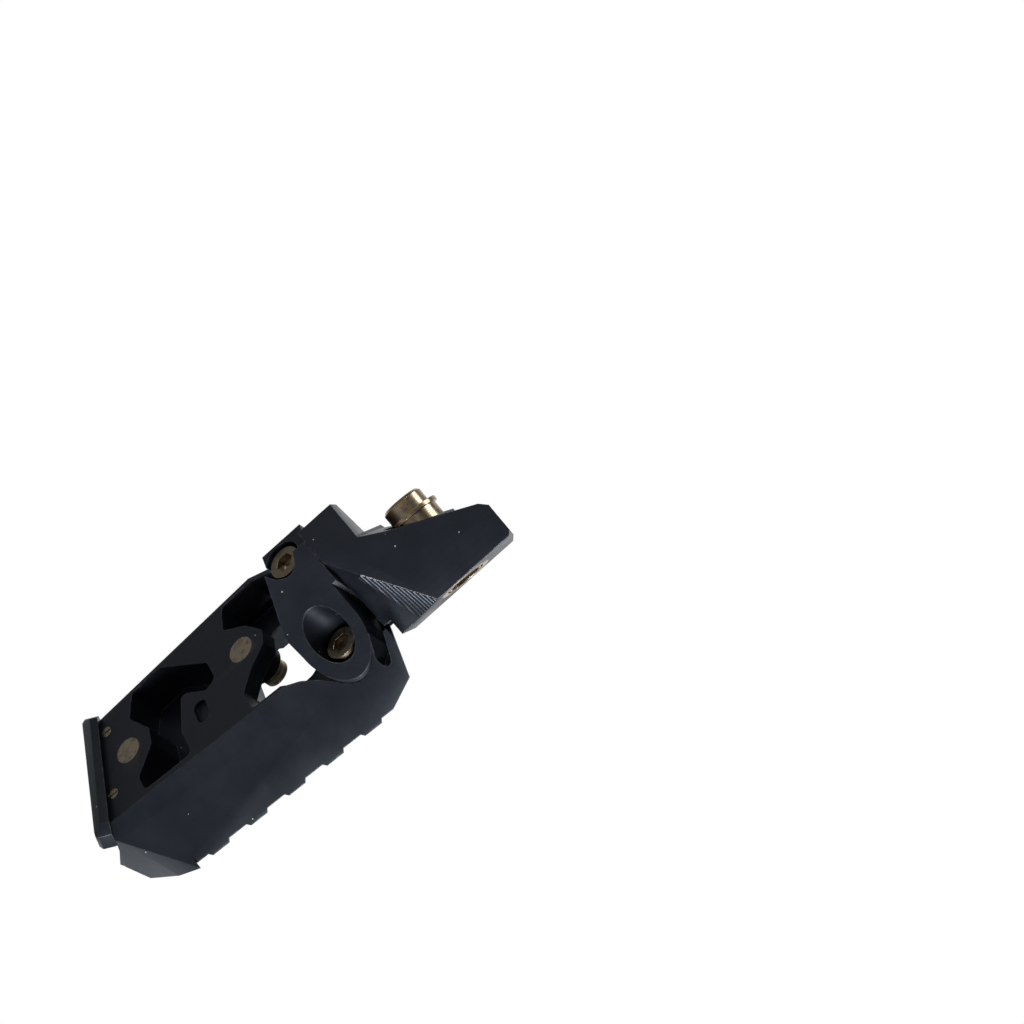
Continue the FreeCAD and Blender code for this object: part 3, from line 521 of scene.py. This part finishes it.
lug = copy_of("hinge_lug", "milled_hinge_lug")
tip_line = ((-40, BELOW_TONGUE), (leaning(TIP_X, TIP_LEAN, BELOW_TONGUE), BELOW_TONGUE),
            (leaning(TIP_X, TIP_LEAN, ABOVE_TONGUE), ABOVE_TONGUE), (-40, ABOVE_TONGUE))
carve(lug, hull("tip_cut", [on_hinge(x, y, z) for y in (-20, 20) for x, z in tip_line]))
for along, side in ((NEAR, -1), (NEAR + TONGUE_END_WIDTH, 1)):
    outside = along + side * CLEAR
    corners = []
    for z in (BELOW_TONGUE, ABOVE_TONGUE):
        tip = leaning(TIP_X, TIP_LEAN, z)
        corners += [on_hinge(tip - CLEAR, outside, z),
                    on_hinge(tip - CLEAR, along - side * (CORNER_RUN + CLEAR), z),
                    on_hinge(tip + CORNER_RUN + CLEAR, outside, z)]
    carve(lug, hull("corner_cut", corners))
shoulder_line = ((7, BELOW_TONGUE), (leaning(SHOULDER_X, SHOULDER_LEAN, BELOW_TONGUE), BELOW_TONGUE),
                 (leaning(SHOULDER_X, SHOULDER_LEAN, ABOVE_LUG), ABOVE_LUG), (7, ABOVE_LUG))
carve(lug, hull("shoulder_cut", [on_hinge(x, y, z) for y in (SHOULDER_ALONG, 34)
                                 for x, z in shoulder_line]))
boss_outline = BOSS_LINE + ((5.5, 30), (-30, 30))
carve(lug, hull("boss_cut", [on_hinge(x, y, z) for z in (-12, 30) for x, y in boss_outline]))
carve(lug, hull("side_cut", [on_hinge(x, y, z) for x in (-30, -7.5) for z in (-11, 12)
                             for y in (tongue_side(x, z), 20)]))
finish_edges(lug, EDGE_BREAK, LUG_WELD)
stand_in(lug, "hinge_lug", black_joint)

# %% [markdown]
# ## The cutter's ridges
# The cut-out beside the tongue was swept with a ball-nosed cutter, which left about twenty fine ridges.
# They could be a bump pattern, but they catch the light at their crests, so they are modelled: a skin
# that follows the swept face, with a scallop for each pass of the cutter. The skin fades out at its rim.
# The real ridges are finer and lower. They are drawn 1.1 mm apart to show, so there are fewer of them.

# %% The ridge skin
PITCH, RIDGE = 1.1, 0.27
RADIUS, REACH, START_X = 20.0, 14.1, 6.9
SWEEP_ANGLE = math.radians(56.7)
SWEEP_LENGTH, NEAR_WIDTH, FAR_WIDTH = 20.0, 8.2, 1.8
STEPS_PER_RIDGE, ROW_STEP = 10, 0.35
COLUMN_COUNT, ROW_COUNT = 150, 56
SUNK, SKIN, OVERHANG = 0.02, 0.05, 0.12
INNER_FADE, OUTER_FADE = 1.2, 0.25
EDGE_LEVEL = math.sqrt(RADIUS ** 2 - REACH ** 2)


def edge_x(along):
    """X of the sweep's edge on the tongue's face."""
    return START_X + (along - NEAR) / math.tan(SWEEP_ANGLE)


def sweep_point(x, along):
    """Distance from the sweep's edge and depth of the swept face there."""
    off = (x - edge_x(along)) * math.sin(SWEEP_ANGLE)
    depth = math.sqrt(max(0.0, RADIUS ** 2 - (off - REACH) ** 2)) - EDGE_LEVEL
    return off, depth


def ridge_lift(column, off, limit):
    """How far the skin stands off the swept face: a scallop that fades out at both rims."""
    fade = min(1.0, max(0.0, (limit - off) / INNER_FADE), max(0.0, off + SUNK) / OUTER_FADE)
    phase = (column / STEPS_PER_RIDGE) % 1.0
    cusp = (2 * phase - 1) ** 2
    return -SUNK + fade * (SKIN + RIDGE * cusp)


columns = [START_X + 0.02 + i * PITCH / STEPS_PER_RIDGE for i in range(COLUMN_COUNT)]
rows = [NEAR + 0.12 + j * ROW_STEP for j in range(ROW_COUNT)]
corners, used, faces = [], {}, []
for j, along in enumerate(rows):
    share = (along - NEAR) / SWEEP_LENGTH
    limit = NEAR_WIDTH * (1 - share) + FAR_WIDTH * share
    for i, x in enumerate(columns):
        off, depth = sweep_point(x, along)
        if -OVERHANG <= off <= limit:
            used[i, j] = len(corners)
            corners.append(on_hinge(x, along, FLAT + max(depth, 0.0) - ridge_lift(i, off, limit)))
for (i, j) in used:
    ring = [(i, j), (i + 1, j), (i + 1, j + 1), (i, j + 1)]
    if all(place in used for place in ring):
        faces.append([used[place] for place in ring])
ridges = piece_from("cutter_ridges", corners, faces)
# The skin is painted a paler grey: partly thin black skin, partly a painted sheen on the ridges.
ridges.data.materials.append(ridge_thin_skin_and_sheen)
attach(ridges, "peg")
print("ridge skin faces:", len(faces))

# %% [markdown]
# ## The chipped line
# The edge where the sweep meets the tongue's face has lost its black skin and shows bright metal. It
# could be painted by a mask, but it has a sharp outline, so it is a piece: short lozenges, set end to
# end with small gaps and uneven widths. A few flakes lie beside its inner end. A fixed seed makes the
# same line at each run.

# %% The chipped line
LOZENGE = ((0.0, 0.0), (0.3, 1.0), (0.7, 0.8), (1.0, 0.0), (0.7, -0.3), (0.3, -0.4))
FLAKE = ((0, 0), (0.22, 0.1), (0.32, 1.0), (0.1, 0.9))
LINE_END, CHIP_LIFT, CHIP_THICKNESS = 4.9, 0.035, 0.03
WIDER_FROM, WIDER = 1.5, 1.35
FLAKE_COUNT, FLAKE_START, FLAKE_STEP, FLAKE_SHIFT = 9, 4.6, 0.55, 0.25
dice = random.Random(7)
corners, faces = [], []
along = NEAR + 0.2
while along < LINE_END:
    step = dice.uniform(0.35, 1.3)
    wide = dice.uniform(0.07, 0.2) * (WIDER if along > WIDER_FROM else 1.0)
    first = len(corners)
    for share, side in LOZENGE:
        spot = along + step * share
        corners.append(on_hinge(edge_x(spot) + wide * side, spot, FLAT - CHIP_LIFT))
    faces.append(list(range(first, first + len(LOZENGE))))
    along += step * dice.uniform(0.86, 1.05)
for i in range(FLAKE_COUNT):
    spot = FLAKE_START - i * FLAKE_STEP
    first = len(corners)
    for right, forward in FLAKE:
        depth = FLAT + 0.02 + 0.3 * right
        corners.append(on_hinge(edge_x(spot) + FLAKE_SHIFT + right, spot + forward, depth))
    faces.append(list(range(first, first + len(FLAKE))))
line = piece_from("chipped_line", corners, faces)
take(line, "SOLIDIFY", thickness=CHIP_THICKNESS * MM, offset=0.0)
line.data.materials.append(chip_metal)
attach(line, "peg")
print("chips:", len(faces))

# %% [markdown]
# ## The clamp block
# The rear bolt of the real block sits in a counterbore with metal all round it, so a small heel is
# joined on behind the slanted face, and the counterbore is cut again through it. The heel could be a
# piece of its own, but joined on it leaves no seam.

# %% Carve the block
HEEL_SECTION = ((11.2, -19.9), (19.95, -19.9), (19.95, -9.0), (11.2, -12.0))
BOLT_X, BOLT_Y = 36.0, 13.0
COUNTERBORE_RADIUS, COUNTERBORE_FLOOR = 6.0, -13.05
block = copy_of("joint_block", "milled_clamp_block")
heel = in_mm([(x, y, z) for x in (27.0, 41.6) for y, z in HEEL_SECTION])
carve(block, hull("heel", heel), "UNION")
bore = circle(BOLT_X, BOLT_Y, COUNTERBORE_RADIUS, 10)
carve(block, extruded("counterbore", bore, -30.0, COUNTERBORE_FLOOR))
finish_edges(block, EDGE_BREAK)
stand_in(block, "joint_block", black_joint)

# %% [markdown]
# ## The peg body
# The body's inner end slopes back, a chamfer takes off its front corner, a narrow slot runs beside the
# clamp block's round nose, and the inner pocket breaks out through the ridge beside the block. At the
# outer end a cap fills out the nose below the end plate, and one cut trims the nose's corner. Each
# could be modelled by moving corners, but a cut leaves flat faces, and any one can be changed alone.

# %% Carve the body's inner end
SLOPE_LINE = ((10, -10), (17.2, -10), (32.3, 20), (10, 20))
SLOT_ENDS = ((27.0, -13.6), (30.2, -17.4))
SLOT_RADIUS = 1.9
BREAKOUT = ((43.0, -5.0), (43.0, -15.5), (44.7, -14.9), (48.8, -12.0), (53.4, -9.6), (57.6, -8.2),
            (60.0, -6.4), (60.0, -5.0))
body = copy_of("peg_body", "milled_peg_body")
carve(body, hull("corner_slope", in_mm([(x, y, z) for y in (-40, 20) for x, z in SLOPE_LINE])))
carve(body, beyond("corner_chamfer", (28.1, -23.4, 11.9), (0.344, 0.501, -0.793)))
slot = [(x, y, z) for end in SLOT_ENDS for x, y in circle(*end, SLOT_RADIUS, 15) for z in (-12.0, 8.0)]
carve(body, hull("nose_slot", in_mm(slot)))
carve(body, extruded("breakout", BREAKOUT, -12.0, 8.9))
print("body faces after the inner end:", len(body.data.polygons))

# %% Carve the body's nose
NOSE_OUTLINE = ((126.2, -5.2, 1.1), (133.0, -3.34, 9.49), (129.3, -8.33, 15.8), (119.9, -16.4, 15.8),
                (112.7, -20.2, 15.8))
NOSE_ROOTS = ((122, -2, 3), (122, -2, 14), (113, -10, 8))
cap = hull("nose_cap", in_mm(NOSE_OUTLINE + NOSE_ROOTS))
carve(cap, copy_of("end_plate", "plate_tool"))
carve(body, cap, "UNION")
carve(body, beyond("nose_corner", (132.8, -3.24, 9.46), (-0.869, 0.475, -0.139), 30.0))
finish_edges(body, EDGE_BREAK)
stand_in(body, "peg_body", black_body)

# %% [markdown]
# ## The end plate
# The real plate's outer edge is chamfered, and the chamfer shows as a pale band beside its dark face.
# A wide bevel could make it, but where the edge bends a bevel leaves a spike, so one slanted plane
# cuts it.

# %% Chamfer the end plate
PLATE_EDGE_BREAK = 0.25
plate = copy_of("end_plate", "milled_end_plate")
carve(plate, beyond("outer_chamfer", (115.9, 34.6, -6.3), (-0.3, -0.072, 0.951)))
finish_edges(plate, PLATE_EDGE_BREAK)
stand_in(plate, "end_plate", black_plate)

# %% [markdown]
# ## The camera
# The photograph looks up at the underside strip, with the peg running down to the left. Its direction
# was worked out from known right angles and round ends on the part, and the lens is long, so that
# parallel edges stay nearly parallel. The camera's three axes are given in the part's own frame.

# %% Camera
PIXELS_PER_MM = 3.61
IMAGE_PIXELS = 1024
PIVOT_PIXEL = (433, 540)
DISTANCE = 8.0
toward_camera = Vector((-0.309, -0.738, -0.600)).normalized()
image_up = Vector((-0.635, 0.629, -0.45))
image_up = (image_up - toward_camera * image_up.dot(toward_camera)).normalized()
image_right = image_up.cross(toward_camera)
frame_width = IMAGE_PIXELS / PIXELS_PER_MM * MM
across = (IMAGE_PIXELS / 2 - PIVOT_PIXEL[0]) / PIXELS_PER_MM * MM
down = (IMAGE_PIXELS / 2 - PIVOT_PIXEL[1]) / PIXELS_PER_MM * MM
aim = image_right * across - image_up * down
camera_data = bpy.data.cameras.new("camera")
camera_data.sensor_width = 36.0
camera_data.lens = camera_data.sensor_width * DISTANCE / frame_width
camera_data.clip_end = 20.0
camera = bpy.data.objects.new("camera", camera_data)
bpy.context.scene.collection.objects.link(camera)
camera.matrix_world = Matrix.Translation(aim + toward_camera * DISTANCE) @ Matrix(
    (image_right, image_up, toward_camera)).transposed().to_4x4()
bpy.context.scene.camera = camera
print("lens in mm:", round(camera_data.lens, 1))

# %% [markdown]
# ## Floor and world
# The camera looks up from 4.8 m below the part, so the pale floor lies lower still and the white world
# is the background. Camera and glass rays see the world as plain white. All other rays, mirror rays too,
# see it dim towards the camera and bright behind the part, as if a lit sheet hung there. So the faces
# that turn away catch a pale sheen and the ones that face the camera stay black.

# %% The floor
FLOOR_DROP = 5.3
FLOOR_SIZE = 12.0
mesh = bpy.data.meshes.new("floor")
builder = bmesh.new()
bmesh.ops.create_grid(builder, x_segments=8, y_segments=8, size=FLOOR_SIZE / 2)
builder.to_mesh(mesh)
builder.free()
floor = bpy.data.objects.new("floor", mesh)
floor.location.z = cad_box[0].z - FLOOR_DROP
bpy.context.scene.collection.objects.link(floor)
floor_paint, tree, shader, place = new_material("pale studio floor")
dust = node(tree, "ShaderNodeTexNoise", Vector=place, Scale=6.0, Detail=3.0).outputs["Fac"]
pale = node(tree, "ShaderNodeMix", COLOURS, _0=dust, _6=linear("#F2F2F2"), _7=linear("#F8F8F8")).outputs[2]
tree.links.new(pale, shader.inputs["Base Color"])
shader.inputs["Roughness"].default_value = 0.9
floor.data.materials.append(floor_paint)
print("floor at z =", round(floor.location.z, 3))

# %% The world
DIM, BRIGHT = 0.06, 0.95
DIM_UNTIL, BRIGHT_FROM = 0.4, 0.97
world = bpy.data.worlds.new("studio")
bpy.context.scene.world = world
world.use_nodes = True
tree = world.node_tree
tree.nodes.clear()
rays = node(tree, "ShaderNodeLightPath")
seen = node(tree, "ShaderNodeMath", {"operation": "MAXIMUM"}, _0=rays.outputs["Is Camera Ray"],
            _1=rays.outputs["Is Transmission Ray"]).outputs[0]
way = node(tree, "ShaderNodeTexCoord").outputs["Generated"]
behind = node(tree, "ShaderNodeVectorMath", {"operation": "DOT_PRODUCT"}, _0=way,
              _1=tuple(-toward_camera)).outputs["Value"]
sheet = node(tree, "ShaderNodeMapRange", {"clamp": True}, Value=behind, From_Min=DIM_UNTIL,
             From_Max=BRIGHT_FROM, To_Min=DIM, To_Max=BRIGHT).outputs["Result"]
level = node(tree, "ShaderNodeMix", {"data_type": "FLOAT"}, _0=seen, _2=sheet, _3=1.0).outputs[0]
sky = node(tree, "ShaderNodeBackground", Color=linear("#FFFFFF"), Strength=level)
node(tree, "ShaderNodeOutputWorld", Surface=sky.outputs[0])
print("world level from", DIM, "to", BRIGHT)

# %% [markdown]
# ## Lamps
# As the camera sees it, one large lamp stands low in front of the part and lights the flank. A second
# rakes across from the upper right, a third stands low behind the outer end and gives the nose facet its
# sheen, and a small one stands high in front. Large lamps near the part are soft, as a studio's are.

# %% Lamps


def soft_lamp(name, right, up, near, size, watts):
    """Add a square lamp at a place given along the camera's own axes, aimed at the part."""
    data = bpy.data.lights.new(name, "AREA")
    data.shape = "SQUARE"
    data.size = size
    data.energy = watts
    lamp = bpy.data.objects.new(name, data)
    lamp.location = aim + image_right * right + image_up * up + toward_camera * near
    lamp.rotation_mode = "QUATERNION"
    lamp.rotation_quaternion = (aim - lamp.location).to_track_quat("-Z", "Y")
    bpy.context.scene.collection.objects.link(lamp)


# Each row: name, metres right, up and near from the aim, size in metres, watts.
LAMPS = (
    ("key", 0.1, -1.1, 0.7, 0.6, 27.0),
    ("edge", 0.9, 0.9, 0.15, 0.4, 5.0),
    ("nose", -0.45, -0.82, -0.35, 0.5, 1.4),
    ("top", -0.15, 1.2, 0.75, 0.25, 3.0),
)
for row in LAMPS:
    soft_lamp(*row)
bpy.context.scene.view_settings.view_transform = "Standard"
